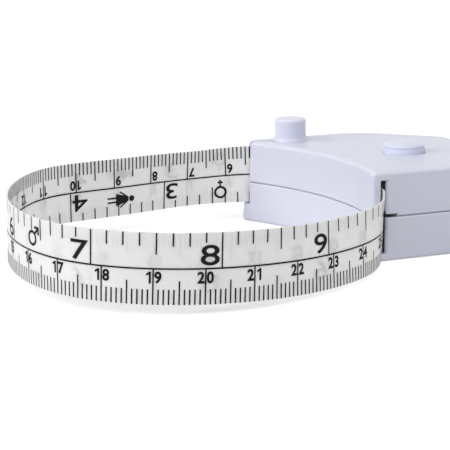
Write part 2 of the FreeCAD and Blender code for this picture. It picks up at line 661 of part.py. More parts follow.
def tape_loop():
    """The free tape, swept on its edge from the lead out of the slot and round to the wing. Its leaning top
    edge guides the sweep."""
    slot = LEAD_END + Vector(0, 0, TAPE_MID)
    wing = PEG + WING_DIRECTION * (TAIL_LENGTH + TAIL_GAP) + Vector(0, 0, WING_MID)
    places = loop_places()
    middle = [slot] + [Vector(x, y, TAPE_MID + rise) for x, y, rise, lean in places] + [wing]
    leans = [0.0] + [place[3] for place in places] + [0.0]
    ends = (LEAD_DIRECTION * -1, WING_DIRECTION * -1)
    path = smooth_curve(middle, *ends)
    upper = []
    for point, lean in zip(middle, leans):
        along = path.tangent(path.parameter(point))[0]
        inwards = Vector(along.y, -along.x, 0).normalize()
        upper.append(point + Vector(0, 0, TAPE_WIDTH / 2) + inwards * lean)
    guide = smooth_curve(upper, *ends)
    across = Vector(-LEAD_DIRECTION.y, LEAD_DIRECTION.x, 0) * (TAPE_THICK / 2)
    upright = Vector(0, 0, TAPE_WIDTH / 2)
    offsets = [across + upright, upright - across, across * -1 - upright, across - upright]
    corners = [slot + offset for offset in offsets]
    sweep = Part.BRepOffsetAPI.MakePipeShell(Part.Wire(path.toShape()))
    sweep.setAuxiliarySpine(Part.Wire(guide.toShape()), False, 0)
    sweep.add(Part.makePolygon(corners + corners[:1]))
    sweep.build()
    sweep.makeSolid()
    return sweep.shape()


def main():
    os.makedirs("parts", exist_ok=True)
    body = case_body()
    parts = {
        "lower_shell": lower_shell(body),
        "upper_shell": upper_shell(body),
        "tape_spool": tape_spool(),
        "spool_flange": spool_flange(),
        "wound_tape": wound_tape(),
        "mainspring": mainspring(),
        "spring_cover": spring_cover(),
        "spool_washer": spool_washer(),
        "retract_button": retract_button(),
        "brake_disc": brake_disc(),
        "brake_washer": brake_washer(),
        "stem_clip": stem_clip(),
        "return_spring": return_spring(),
        "locking_peg": locking_peg(),
        "peg_core": peg_core(),
        "tape_end_pin": tape_end_pin(),
        "tape_tail": tape_tail(),
        "tape_lead": tape_lead(),
        "tape_loop": tape_loop(),
        "case_screws": Part.makeCompound([case_screw(place) for place in SCREW_PLACES]),
    }
    for name, shape in parts.items():
        shape.exportStep(f"parts/{name}.step")


main()
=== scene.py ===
"""Body tape measure with a retract button and a locking peg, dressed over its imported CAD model.

Metres, in the model's own frame: the origin is on the spool's axis at the case's underside, +Z is up, +X
points from the case's concave side to its far end, and +Y to the wing that takes the peg.
"""

import math

import bmesh
import bpy
import numpy as np
from mathutils import Matrix, Vector


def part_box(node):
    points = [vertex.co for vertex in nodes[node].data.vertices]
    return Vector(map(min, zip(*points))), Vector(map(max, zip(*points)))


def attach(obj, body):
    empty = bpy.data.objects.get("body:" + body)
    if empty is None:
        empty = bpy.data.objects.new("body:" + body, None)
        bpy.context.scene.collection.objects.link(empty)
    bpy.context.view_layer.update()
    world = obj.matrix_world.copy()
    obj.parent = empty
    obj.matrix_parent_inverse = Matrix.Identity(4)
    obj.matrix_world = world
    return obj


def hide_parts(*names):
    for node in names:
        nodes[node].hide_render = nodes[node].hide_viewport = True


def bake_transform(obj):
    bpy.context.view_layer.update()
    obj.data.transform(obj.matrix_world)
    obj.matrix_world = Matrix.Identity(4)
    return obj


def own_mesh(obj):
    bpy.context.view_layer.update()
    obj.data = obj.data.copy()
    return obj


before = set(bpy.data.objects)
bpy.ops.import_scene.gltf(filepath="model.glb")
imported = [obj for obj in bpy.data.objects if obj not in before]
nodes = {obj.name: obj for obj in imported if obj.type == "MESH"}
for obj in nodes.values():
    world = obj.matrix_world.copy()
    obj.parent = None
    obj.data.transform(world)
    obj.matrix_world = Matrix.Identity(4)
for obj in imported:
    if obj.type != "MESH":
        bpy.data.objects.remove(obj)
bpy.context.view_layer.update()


# ---- Camera ----
# It stands in front of the loop, a little above the case, and looks slightly down across the loop at the
# case's concave side. The far end of the case runs out of the picture.
MM = 0.001
CAMERA_PLACE = Vector((-165.8, -290.2, 74.4)) * MM
CAMERA_HEADING = math.radians(67.5)  # of the line of sight, from +X
CAMERA_PITCH = math.radians(12.17)
CAMERA_ROLL = math.radians(0.46)
CAMERA_LENS = 114.3  # in millimetres, as Blender's cameras take it, and so is the sensor
CAMERA_SENSOR = 36.0
CAMERA_NEAR = 10.0 * MM


def add_object(name, data):
    """A new object in the scene, with the given mesh, lens or lamp."""
    added = bpy.data.objects.new(name, data)
    bpy.context.scene.collection.objects.link(added)
    return added


level = Vector((math.cos(CAMERA_HEADING), math.sin(CAMERA_HEADING), 0))
forward = level * math.cos(CAMERA_PITCH) - Vector((0, 0, math.sin(CAMERA_PITCH)))
right = forward.cross(Vector((0, 0, 1))).normalized()
right = Matrix.Rotation(CAMERA_ROLL, 3, forward) @ right
up = right.cross(forward)
lens = bpy.data.cameras.new("camera")
lens.lens = CAMERA_LENS
lens.sensor_width = CAMERA_SENSOR
lens.clip_start = CAMERA_NEAR
camera = add_object("camera", lens)
facing = Matrix((right, up, -forward)).transposed().to_4x4()
camera.matrix_world = Matrix.Translation(CAMERA_PLACE) @ facing
bpy.context.scene.camera = camera


# ---- Case ----
# Two moulded shells of satin white ABS with a cool tint. They meet in a shadow gap round the middle, and
# three screws from below hold them together.
CASE_COLOUR = (0.68, 0.7, 0.81)
CASE_ROUGHNESS = 0.36
CASE_SCATTER = 0.8
PLASTIC_IOR = 1.5
PLASTIC_SHINE = 0.4
PLASTIC_CLOUDING = 0.03
CLOUD_SCALE = 60.0
CLOUD_DETAIL = 3.0
GLOSS_CHANGE = 0.08
GRAIN_SCALE = 4000.0
GRAIN_DETAIL = 1.0
GRAIN_BUMP = 0.06
GRAIN_DEPTH = 0.02 * MM
SCATTER_DEPTH = 0.5 * MM
MERGE_DISTANCE = 0.002 * MM
SMOOTH_ANGLE = math.radians(28)
FLAT_FACE_WEIGHT = 100  # the largest value, with which large faces keep their own shading


def new_material(name):
    """A new material, its node tree and its main shader."""
    material = bpy.data.materials.new(name)
    material.use_nodes = True
    return material, material.node_tree, material.node_tree.nodes["Principled BSDF"]


def group_sockets(group, direction, sockets):
    """Gives a node group its inputs or outputs, each by name and kind."""
    for name, kind in sockets.items():
        group.interface.new_socket(name=name, in_out=direction, socket_type=kind)


def math_node(tree, operation, *given):
    """Output of a new math node. Each of its inputs is given as a socket to link or as a number."""
    node = tree.nodes.new("ShaderNodeMath")
    node.operation = operation
    for socket, value in zip(node.inputs, given):
        if isinstance(value, bpy.types.NodeSocket):
            tree.links.new(value, socket)
        else:
            socket.default_value = value
    return node.outputs[0]


def noise(tree, place, scale, detail):
    """Value of a new noise texture over the given coordinates."""
    texture = tree.nodes.new("ShaderNodeTexNoise")
    texture.inputs["Scale"].default_value = scale
    texture.inputs["Detail"].default_value = detail
    tree.links.new(place, texture.inputs["Vector"])
    return texture.outputs["Fac"]


def raise_surface(tree, skin, height, strength, depth):
    """Gives a shader a fine relief from a height value."""
    bump = tree.nodes.new("ShaderNodeBump")
    bump.inputs["Strength"].default_value = strength
    bump.inputs["Distance"].default_value = depth
    tree.links.new(height, bump.inputs["Height"])
    tree.links.new(bump.outputs["Normal"], skin.inputs["Normal"])


def moulded_group():
    """Moulded plastic: faint clouding of the colour, uneven gloss, and the fine grain of the mould."""
    group = bpy.data.node_groups.new("moulded_plastic", "ShaderNodeTree")
    group_sockets(group, "INPUT", {
        "Colour": "NodeSocketColor",
        "Clouding": "NodeSocketFloat",
        "Roughness": "NodeSocketFloat",
    })
    group_sockets(group, "OUTPUT", {
        "Colour": "NodeSocketColor",
        "Roughness": "NodeSocketFloat",
        "Height": "NodeSocketFloat",
    })
    given = group.nodes.new("NodeGroupInput")
    made = group.nodes.new("NodeGroupOutput")
    place = group.nodes.new("ShaderNodeTexCoord").outputs["Object"]
    clouds = noise(group, place, CLOUD_SCALE, CLOUD_DETAIL)
    grain = noise(group, place, GRAIN_SCALE, GRAIN_DETAIL)
    centred = math_node(group, "SUBTRACT", clouds, 0.5)
    shade = math_node(group, "MULTIPLY_ADD", centred, given.outputs["Clouding"], 1.0)
    gloss = math_node(group, "MULTIPLY_ADD", centred, GLOSS_CHANGE, given.outputs["Roughness"])
    tinted = group.nodes.new("ShaderNodeVectorMath")
    tinted.operation = "SCALE"
    group.links.new(given.outputs["Colour"], tinted.inputs[0])
    group.links.new(shade, tinted.inputs["Scale"])
    group.links.new(tinted.outputs["Vector"], made.inputs["Colour"])
    group.links.new(gloss, made.inputs["Roughness"])
    group.links.new(grain, made.inputs["Height"])
    return group


MOULDED = moulded_group()


def scatter_light(skin, share, depth):
    """Lets a share of the light go a little way into a white plastic, which softens its edges and gaps."""
    skin.inputs["Subsurface Weight"].default_value = share
    skin.inputs["Subsurface Radius"].default_value = (1, 1, 1)
    skin.inputs["Subsurface Scale"].default_value = depth


def plastic(name, colour, roughness, clouding=PLASTIC_CLOUDING, shine=PLASTIC_SHINE, scatter=0.0):
    """Moulded plastic material from the group, with its own values."""
    material, tree, skin = new_material(name)
    skin.inputs["IOR"].default_value = PLASTIC_IOR
    skin.inputs["Specular IOR Level"].default_value = shine
    scatter_light(skin, scatter, SCATTER_DEPTH)
    look = tree.nodes.new("ShaderNodeGroup")
    look.node_tree = MOULDED
    look.inputs["Colour"].default_value = (*colour, 1)
    look.inputs["Clouding"].default_value = clouding
    look.inputs["Roughness"].default_value = roughness
    tree.links.new(look.outputs["Colour"], skin.inputs["Base Color"])
    tree.links.new(look.outputs["Roughness"], skin.inputs["Roughness"])
    raise_surface(tree, skin, look.outputs["Height"], GRAIN_BUMP, GRAIN_DEPTH)
    return material


def shade_rounds(shape):
    """Shades a bmesh smooth, apart from the edges where it turns sharply."""
    for face in shape.faces:
        face.smooth = True
    for edge in shape.edges:
        edge.smooth = len(edge.link_faces) == 2 and edge.calc_face_angle() < SMOOTH_ANGLE


def smooth_copy(node, name, body, material):
    """A copy of a CAD node, with its triangles joined up and its rounds shaded smooth, in its place."""
    mesh = nodes[node].data.copy()
    mesh.name = name
    shape = bmesh.new()
    shape.from_mesh(mesh)
    bmesh.ops.remove_doubles(shape, verts=shape.verts, dist=MERGE_DISTANCE)
    shade_rounds(shape)
    shape.to_mesh(mesh)
    shape.free()
    mesh.materials.clear()
    mesh.materials.append(material)
    piece = add_object(name, mesh)
    even = piece.modifiers.new("even_shading", "WEIGHTED_NORMAL")
    even.keep_sharp = True
    even.weight = FLAT_FACE_WEIGHT
    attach(piece, body)
    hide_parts(node)
    return piece


case_plastic = plastic("case_plastic", CASE_COLOUR, CASE_ROUGHNESS, scatter=CASE_SCATTER)
smooth_copy("upper_shell", "case_lid", "case", case_plastic)
smooth_copy("lower_shell", "case_base", "case", case_plastic)


# ---- Retract button and peg ----
# Both are moulded in the case's plastic with a finer polish. The button has a stepped rim with a shadow
# groove and a slightly crowned top, and the peg stands on a flared foot.
BUTTON_COLOUR = (0.69, 0.72, 0.85)
PEG_COLOUR = (0.7, 0.72, 0.86)
CONTROL_ROUGHNESS = 0.3

button_plastic = plastic("button_plastic", BUTTON_COLOUR, CONTROL_ROUGHNESS, scatter=CASE_SCATTER)
peg_plastic = plastic("peg_plastic", PEG_COLOUR, CONTROL_ROUGHNESS, scatter=CASE_SCATTER)
smooth_copy("retract_button", "button_cap", "button", button_plastic)
smooth_copy("locking_peg", "peg_head", "peg", peg_plastic)
smooth_copy("peg_core", "peg_shank", "peg", peg_plastic)


# ---- Tape ----
# One strip of white vinyl on glass-fibre cloth, which stands on its edge. It starts in the peg, leaves the
# wing, makes the loop and enters the case's slot. It is made flat and then bent along its path.
TAPE_WIDTH = 14.0 * MM
TAPE_THICK = 0.35 * MM
PEG_X = -16.6 * MM
PEG_Y = 27.3 * MM
WING_ANGLE = math.radians(160.9)  # of the tape's way out of the wing, from +X
TAIL_START = 0.875 * MM  # from the peg's axis to the tape's end
WING_REACH = 9.75 * MM  # from the peg's axis to where the tape's curve begins
# From the slot round to the wing, in millimetres: x, y, height above the tape's middle on the spool, and
# how far the top edge leans inwards.
LOOP_POINTS = [
    (-17.345, -21.4, 0.0, -0.2),
    (-19.5, -25.4, -0.35, -0.33),
    (-21.2, -28.3, -0.6, -0.33),
    (-23.7, -31.2, -0.8, -0.2),
    (-28.0, -34.9, -0.9, 0.1),
    (-37.2, -39.9, -1.0, 0.3),
    (-56.4, -45.4, -0.5, 0.2),
    (-76.1, -43.2, 0.2, 0.0),
    (-91.0, -33.0, 0.9, -0.1),
    (-96.9, -14.0, 1.4, -0.05),
    (-94.6, 2.3, 1.7, 0.12),
    (-87.35, 17.4, 1.9, 0.15),
    (-77.8, 26.8, 2.0, 0.1),
    (-63.5, 30.0, 2.1, 0.2),
    (-50.0, 32.3, 2.2, 0.6),
    (-37.0, 33.0, 2.4, 0.9),
]
PATH_STEPS = 1600
TAIL_STEPS = 40
STRIP_STEP = 0.6 * MM
STRIP_ROWS = 6

lead_low, lead_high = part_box("tape_lead")
coil_low, coil_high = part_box("wound_tape")
tail_low, tail_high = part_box("tape_tail")
tape_middle = (coil_low.z + coil_high.z) / 2
wing_middle = (tail_low.z + tail_high.z) / 2
wing_way = Vector((math.cos(WING_ANGLE), math.sin(WING_ANGLE), 0))
peg_axis = Vector((PEG_X, PEG_Y, wing_middle))
tail_from = peg_axis + wing_way * TAIL_START
wing_point = peg_axis + wing_way * WING_REACH
lead_way = Vector((lead_high.x - lead_low.x - TAPE_THICK, lead_high.y - lead_low.y, 0)).normalized()
lead_end = Vector((lead_low.x + TAPE_THICK / 2, lead_low.y, tape_middle))


def spline(knots, first, last):
    """Slopes at the knots of a smooth curve through them that has the given slopes at its two ends, and
    each knot's distance along the chords."""
    steps = np.linalg.norm(np.diff(knots[:, :3], axis=0), axis=1)
    count = len(knots)
    matrix = np.zeros((count, count))
    right_side = np.zeros_like(knots)
    matrix[0, 0] = matrix[-1, -1] = 1
    right_side[0] = first
    right_side[-1] = last
    for i in range(1, count - 1):
        before, after = steps[i - 1], steps[i]
        matrix[i, i - 1 : i + 2] = after, 2 * (before + after), before
        rise_before = (knots[i] - knots[i - 1]) * after / before
        rise_after = (knots[i + 1] - knots[i]) * before / after
        right_side[i] = 3 * (rise_before + rise_after)
    return np.linalg.solve(matrix, right_side), np.concatenate([[0], np.cumsum(steps)])


# Each knot of the path is x, y, height of the tape's middle, and lean of its top edge.
path_knots = [(*wing_point, 0.0)]
for x, y, rise, lean in reversed(LOOP_POINTS):
    path_knots.append((x * MM, y * MM, tape_middle + rise * MM, lean * MM))
path_knots.append((*lead_end, 0.0))
path_knots = np.array(path_knots)
slopes, distances = spline(path_knots, (*wing_way, 0), (*lead_way, 0))


def path_at(distance):
    """Places and directions on the path for an array of distances along its chords."""
    index = np.clip(np.searchsorted(distances, distance, side="right") - 1, 0, len(distances) - 2)
    step = (distances[index + 1] - distances[index])[:, None]
    t = ((distance - distances[index])[:, None]) / step
    a, b = path_knots[index], path_knots[index + 1]
    da, db = slopes[index] * step, slopes[index + 1] * step
    place = (2 * t**3 - 3 * t**2 + 1) * a + (t**3 - 2 * t**2 + t) * da
    place = place + (3 * t**2 - 2 * t**3) * b + (t**3 - t**2) * db
    way = (6 * t**2 - 6 * t) * a + (3 * t**2 - 4 * t + 1) * da
    way = way + (6 * t - 6 * t**2) * b + (3 * t**2 - 2 * t) * db
    return place, way / step


# The straight tail in the peg comes before the curve, and its end is the start of the tape's length.
curve_places, curve_ways = path_at(np.linspace(0, distances[-1], PATH_STEPS))
tail_share = np.linspace(0, 1, TAIL_STEPS, endpoint=False)[:, None]
tail_places = np.array([*tail_from, 0.0]) + tail_share * np.array([*(wing_point - tail_from), 0.0])
tail_ways = np.tile([*wing_way, 0.0], (TAIL_STEPS, 1))
places = np.vstack([tail_places, curve_places])
ways = np.vstack([tail_ways, curve_ways])
lengths = np.concatenate([[0], np.cumsum(np.linalg.norm(np.diff(places[:, :3], axis=0), axis=1))])
tape_length = lengths[-1]


def bend_onto_path(shape):
    """Moves a flat bmesh onto the path. Flat, X runs along the tape from its end, Y up from its lower edge,
    and Z out of its outer face, which looks away from the loop."""
    flat = np.array([v.co for v in shape.verts])
    x, y, z, lean = [np.interp(flat[:, 0], lengths, places[:, i]) for i in range(4)]
    way_x, way_y, way_z = [np.interp(flat[:, 0], lengths, ways[:, i]) for i in range(3)]
    norm = np.hypot(way_x, way_y)
    way_x, way_y, way_z = way_x / norm, way_y / norm, way_z / norm
    height = flat[:, 1] - TAPE_WIDTH / 2
    tilt = lean / (TAPE_WIDTH / 2)
    off = flat[:, 2] - height * tilt
    back = height * way_z  # keeps lines across the tape square to it where it climbs
    x, y = x + way_y * off - way_x * back, y - way_x * off - way_y * back
    bent = np.column_stack([x, y, z + height * np.sqrt(1 - tilt**2)])
    for vertex, place in zip(shape.verts, bent):
        vertex.co = place


def piece_on_tape(name, shape, material):
    """Bends a flat bmesh onto the path and makes it a piece of the tape."""
    bend_onto_path(shape)
    mesh = bpy.data.meshes.new(name)
    shape.to_mesh(mesh)
    shape.free()
    mesh.materials.append(material)
    piece = add_object(name, mesh)
    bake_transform(piece)
    return piece


TAPE_COLOUR = (0.9, 0.9, 0.895)
TAPE_ROUGHNESS = 0.42
TAPE_SCATTER_DEPTH = 1.2 * MM
COAT_SCALE = 5.0  # per width of the tape, like the weave's
COAT_DETAIL = 3.0
WEAVE_SCALE = 9.0
WEAVE_DISTORTION = 0.5
WEAVE_BUMP = 0.08
WEAVE_DEPTH = 0.02 * MM
SCALE_START = 44.7 * MM  # scale reading at the start of the modelled tape
CENTIMETRE = 10.0 * MM
INCH = 25.4 * MM
# Painted shade: the grey of the patches where the numbers printed on the other face show through the tape.
PAINTED_SHOW_THROUGH_SHADE = (0.85, 0.85, 0.885)
SHOW_THROUGH_CORE = 0.35  # share of a patch's reach that has its full strength
SHOW_THROUGH_ROWS = [  # pitch, reading at the middle of one number, height and reach of the patches
    (CENTIMETRE, 0.0, 8.7 * MM, 2.1 * MM),
    (INCH, -2.6 * MM, 4.4 * MM, 2.9 * MM),
]


def show_through(tree, along, pitch, reading, height, reach):
    """Soft patches of painted shade, one for each number of a row printed on the other face, where it shows
    through.
    """
    row = tree.nodes.new("ShaderNodeMapping")
    row.inputs["Scale"].default_value = (TAPE_WIDTH / pitch, TAPE_WIDTH / pitch, 1)
    row.inputs["Location"].default_value = ((SCALE_START - reading) / pitch, -height / pitch, 0)
    spots = tree.nodes.new("ShaderNodeTexVoronoi")
    spots.voronoi_dimensions = "2D"
    spots.inputs["Scale"].default_value = 1.0
    spots.inputs["Randomness"].default_value = 0.0
    fade = tree.nodes.new("ShaderNodeMapRange")
    fade.interpolation_type = "SMOOTHSTEP"
    fade.inputs["From Min"].default_value = reach / pitch
    fade.inputs["From Max"].default_value = SHOW_THROUGH_CORE * reach / pitch
    tree.links.new(along, row.inputs["Vector"])
    tree.links.new(row.outputs["Vector"], spots.inputs["Vector"])
    tree.links.new(spots.outputs["Distance"], fade.inputs["Value"])
    return fade.outputs["Result"]


def tape_vinyl():
    """Vinyl on woven glass cloth: a faint weave, and painted shade in uneven pale grey patches where the
    other face's numbers show through.
    """
    material, tree, skin = new_material("tape_vinyl")
    skin.inputs["Roughness"].default_value = TAPE_ROUGHNESS
    skin.inputs["IOR"].default_value = PLASTIC_IOR
    scatter_light(skin, 1.0, TAPE_SCATTER_DEPTH)
    strip_place = tree.nodes.new("ShaderNodeUVMap")
    strip_place.uv_map = "along"
    along = strip_place.outputs["UV"]
    rows = [show_through(tree, along, *row) for row in SHOW_THROUGH_ROWS]
    patches = math_node(tree, "MAXIMUM", *rows)
    uneven = math_node(tree, "MULTIPLY", patches, noise(tree, along, COAT_SCALE, COAT_DETAIL))
    # Painted shade mixed into the tape's colour where the other face's numbers show through.
    painted_shade_mix = tree.nodes.new("ShaderNodeMix")
    painted_shade_mix.data_type = "RGBA"
    painted_shade_mix.inputs["A"].default_value = (*TAPE_COLOUR, 1)
    painted_shade_mix.inputs["B"].default_value = (*PAINTED_SHOW_THROUGH_SHADE, 1)
    tree.links.new(uneven, painted_shade_mix.inputs["Factor"])
    tree.links.new(painted_shade_mix.outputs["Result"], skin.inputs["Base Color"])
    weave = tree.nodes.new("ShaderNodeTexWave")
    weave.inputs["Scale"].default_value = WEAVE_SCALE
    weave.inputs["Distortion"].default_value = WEAVE_DISTORTION
    tree.links.new(along, weave.inputs["Vector"])
    raise_surface(tree, skin, weave.outputs["Fac"], WEAVE_BUMP, WEAVE_DEPTH)
    return material


def rectangle(shape, length, width, segments=1, rows=1):
    """Adds a flat rectangle round the origin to a bmesh, and gives its vertices."""
    made = bmesh.ops.create_grid(shape, x_segments=segments, y_segments=rows, size=0.5)
    bmesh.ops.scale(shape, verts=made["verts"], vec=(length, width, 1))
    return made["verts"]


def flat_strip():
    """The whole tape, flat, with the place along it as a UV map. The inner face is read upside down."""
    strip = bmesh.new()
    front = rectangle(strip, tape_length, TAPE_WIDTH, int(tape_length / STRIP_STEP), STRIP_ROWS)
    bmesh.ops.translate(strip, verts=front, vec=(tape_length / 2, TAPE_WIDTH / 2, TAPE_THICK / 2))
    along = strip.loops.layers.uv.new("along")
    made = bmesh.ops.extrude_face_region(strip, geom=strip.faces[:])
    back = [item for item in made["geom"] if isinstance(item, bmesh.types.BMVert)]
    bmesh.ops.translate(strip, verts=back, vec=(0, 0, -TAPE_THICK))
    bmesh.ops.recalc_face_normals(strip, faces=strip.faces)
    for face in strip.faces:
        inner = face.calc_center_median().z < 0
        for loop in face.loops:
            u, v = loop.vert.co.x / TAPE_WIDTH, loop.vert.co.y / TAPE_WIDTH
            loop[along].uv = (u, 1 - v if inner else v)
    shade_rounds(strip)
    return strip


def finish_node(node, material):
    """Gives a CAD node one material, in place of its own."""
    nodes[node].data.materials.clear()
    nodes[node].data.materials.append(material)


tape_material = tape_vinyl()
tape = piece_on_tape("tape", flat_strip(), tape_material)
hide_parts("tape_tail", "tape_loop")
finish_node("tape_lead", tape_material)
finish_node("wound_tape", tape_material)


# ---- Printed scale ----
# Black ink on both faces: centimetres along the lower edge of the outer face and inches along its upper
# edge, with a line between them. The inner face has the same print, turned over about the tape's length.
INK_COLOUR = (0.012, 0.012, 0.014)
INK_ROUGHNESS = 0.6
INK_CLOUDING = 0.2
INK_SHINE = 0.1
INK_HEIGHT = 0.02 * MM  # above the tape's face
INK_STRIP = 0.5 * MM
LINE_WIDTH = 0.3 * MM
MIDLINE = 7.05 * MM
MIDLINE_WIDTH = 0.32 * MM
PRINT_START = 8.0 * MM  # of the modelled tape's length, hidden in the wing
CM_TICKS = {0: 7.05 * MM, 5: 4.7 * MM}  # lengths of the whole and half centimetres' lines
MM_TICK = 3.0 * MM
EIGHTHS = 8
# By eighths of an inch: the whole inch's line, the half inch's, and a short one above the number.
INCH_TICKS = {0: 6.95 * MM, 4: 4.2 * MM, 7: 1.9 * MM}
EIGHTH_TICK = 2.6 * MM
CM_HEIGHT = 2.35 * MM
CM_STRETCH = 0.9  # of the font's own width
CM_BOLDER = 0.1 * MM
CM_BELOW = 0.55 * MM
CM_BEFORE = 0.4 * MM
CM_SPACE = 1.8 * MM  # between the middles of two digits
CM_MARGIN = 3.0 * MM  # that a number keeps from both ends of the print
INCH_HEIGHT = 4.0 * MM
INCH_STRETCH = 1.5
INCH_BOLDER = 0.06 * MM
INCH_ABOVE = 0.6 * MM
INCH_BEFORE = 0.5 * MM
INCH_SPACE = 4.8 * MM
INCH_MARGIN = 5.0 * MM  # from the start of the print
FONT_MERGE = 1e-5
ONE_STROKES = [  # of a numeral one without a foot, in the font's units: start, end, width
    ((0.3, 0.0), (0.3, 0.7), 0.08),
    ((0.08, 0.54), (0.28, 0.66), 0.07),
]

ink = plastic("tape_ink", INK_COLOUR, INK_ROUGHNESS, clouding=INK_CLOUDING, shine=INK_SHINE)


def stripe(shape, x, low, high):
    """One printed line across the tape."""
    line = rectangle(shape, LINE_WIDTH, high - low)
    bmesh.ops.translate(shape, verts=line, vec=(x, (low + high) / 2, 0))


def cut_in_strips(shape):
    """Cuts a flat figure into narrow strips, so that it bends with the tape."""
    x = min(v.co.x for v in shape.verts) + INK_STRIP
    while x < max(v.co.x for v in shape.verts):
        geometry = shape.verts[:] + shape.edges[:] + shape.faces[:]
        bmesh.ops.bisect_plane(shape, geom=geometry, plane_co=(x, 0, 0), plane_no=(1, 0, 0))
        x += INK_STRIP


def draw_strokes(shape, strokes, unit):
    """Adds straight bars to a flat figure, each given by its start, end and width in one unit."""
    for start, end, width in strokes:
        start, end = [Vector((x * unit, y * unit, 0)) for x, y in (start, end)]
        run = end - start
        bar = rectangle(shape, run.length, width * unit)
        turn = Matrix.Rotation(math.atan2(run.y, run.x), 3, "Z")
        bmesh.ops.rotate(shape, verts=bar, cent=(0, 0, 0), matrix=turn)
        bmesh.ops.translate(shape, verts=bar, vec=(start + end) / 2)


def font_figure(text):
    """One character of the plain built-in font, flat."""
    letter = bpy.data.curves.new("numeral", "FONT")
    letter.body = text
    drawn = bpy.data.objects.new("numeral", letter)
    mesh = bpy.data.meshes.new_from_object(drawn)
    shape = bmesh.new()
    shape.from_mesh(mesh)
    bpy.data.objects.remove(drawn)
    bpy.data.curves.remove(letter)
    bpy.data.meshes.remove(mesh)
    return shape


def plain_one():
    """A numeral one without a foot: a stem and a short flag."""
    shape = bmesh.new()
    draw_strokes(shape, ONE_STROKES, 1)
    return shape


def thicken(shape, amount):
    """Moves the outline of a flat figure outwards, and that of its holes inwards."""
    pushes = {}
    for edge in shape.edges:
        if not edge.is_boundary:
            continue
        first, second = edge.verts
        side = (second.co - first.co).cross(Vector((0, 0, 1))).normalized()
        if side.dot(edge.link_faces[0].calc_center_median() - first.co) > 0:
            side.negate()
        for vertex in edge.verts:
            pushes.setdefault(vertex, []).append(side)
    for vertex, sides in pushes.items():
        push = sum(sides, Vector())
        vertex.co += amount * len(sides) * push / push.length_squared


def numeral(text, height, stretch, bolder):
    """Flat figure of one numeral, its lower left corner at the origin, and its width."""
    shape = plain_one() if text == "1" else font_figure(text)
    bmesh.ops.remove_doubles(shape, verts=shape.verts, dist=FONT_MERGE)
    tall = max(v.co.y for v in shape.verts) - min(v.co.y for v in shape.verts)
    grow = (height - 2 * bolder) / tall
    bmesh.ops.scale(shape, verts=shape.verts, vec=(grow * stretch, grow, 1))
    thicken(shape, bolder)
    left, right = min(v.co.x for v in shape.verts), max(v.co.x for v in shape.verts)
    foot = min(v.co.y for v in shape.verts)
    bmesh.ops.translate(shape, verts=shape.verts, vec=(-left, -foot, 0))
    cut_in_strips(shape)
    return shape, right - left


DIGITS = "0123456789"
inch_numerals = {text: numeral(text, INCH_HEIGHT, INCH_STRETCH, INCH_BOLDER) for text in DIGITS}
cm_numerals = {text: numeral(text, CM_HEIGHT, CM_STRETCH, CM_BOLDER) for text in DIGITS}


def put(shape, figure, x, y):
    """Copies a figure into the print with its origin at x, y."""
    mesh = bpy.data.meshes.new("figure")
    figure.to_mesh(mesh)
    before = len(shape.verts)
    shape.from_mesh(mesh)
    bpy.data.meshes.remove(mesh)
    shape.verts.ensure_lookup_table()
    bmesh.ops.translate(shape, verts=shape.verts[before:], vec=(x, y, 0))


def number_row(shape, numerals, first, last, pitch, before, space, foot):
    """Numbers between two readings. One digit ends before its line, and two stand on both sides of it."""
    for number in range(math.ceil(first / pitch), math.floor(last / pitch) + 1):
        line = number * pitch
        digits = [numerals[text] for text in str(number)]
        if len(digits) == 1:
            figure, width = digits[0]
            put(shape, figure, line - before - width, foot)
            continue
        for (figure, width), middle in zip(digits, (line - space / 2, line + space / 2)):
            put(shape, figure, middle - width / 2, foot)


# The marks for men's and women's waists and a standing figure, between the inches. All three are drawn
# round their own middles, in millimetres: the start, end and width of each stroke.
RING_RADIUS = 1.6 * MM
RING_STROKE = 0.55 * MM
RING_SIDES = 24
MAN_STROKES = [
    ((1.0, 1.0), (2.1, 2.1), 0.5),
    ((0.9, 2.3), (2.5, 2.3), 0.5),
    ((2.3, 0.9), (2.3, 2.5), 0.5),
]
WOMAN_STROKES = [
    ((0.0, -1.5), (0.0, -3.2), 0.4),
    ((-0.65, -2.5), (0.65, -2.5), 0.5),
]
LIMB_STROKES = [
    ((-1.5, -0.4), (0.6, -1.9), 0.35),
    ((1.6, -0.5), (4.0, -0.5), 0.4),
    ((-1.5, 0.4), (0.6, 1.9), 0.35),
    ((1.6, 0.5), (4.0, 0.5), 0.4),
]
DRESS_LENGTH = 3.4 * MM
DRESS_WIDTH = 3.1 * MM
SHOULDER_SHARE = 0.35  # of the dress's width
HEAD_RADIUS = 0.72 * MM
HEAD_PLACE = -2.55 * MM


def ring_mark(strokes):
    """A ring with straight strokes."""
    shape = bmesh.new()
    bmesh.ops.create_circle(shape, cap_ends=True, segments=RING_SIDES, radius=RING_RADIUS)
    disc = shape.faces[:]
    bmesh.ops.inset_region(shape, faces=disc, thickness=RING_STROKE, use_boundary=True)
    bmesh.ops.delete(shape, geom=disc, context="FACES")
    draw_strokes(shape, strokes, MM)
    cut_in_strips(shape)
    return shape


def standing_mark():
    """A standing figure that lies along the tape, its head to the left: a dress, two arms, two legs."""
    shape = bmesh.new()
    dress = rectangle(shape, DRESS_LENGTH, DRESS_WIDTH)
    bmesh.ops.scale(shape, verts=[v for v in dress if v.co.x < 0], vec=(1, SHOULDER_SHARE, 1))
    head = bmesh.ops.create_circle(shape, cap_ends=True, segments=RING_SIDES, radius=HEAD_RADIUS)["verts"]
    bmesh.ops.translate(shape, verts=head, vec=(HEAD_PLACE, 0, 0))
    draw_strokes(shape, LIMB_STROKES, MM)
    cut_in_strips(shape)
    return shape


MARKS = [  # figure, scale reading and height above the middle line
    (ring_mark(MAN_STROKES), 6.38 * INCH, 2.65 * MM),
    (ring_mark(WOMAN_STROKES), 2.42 * INCH, 4.15 * MM),
    (standing_mark(), 3.46 * INCH, 3.0 * MM),
]


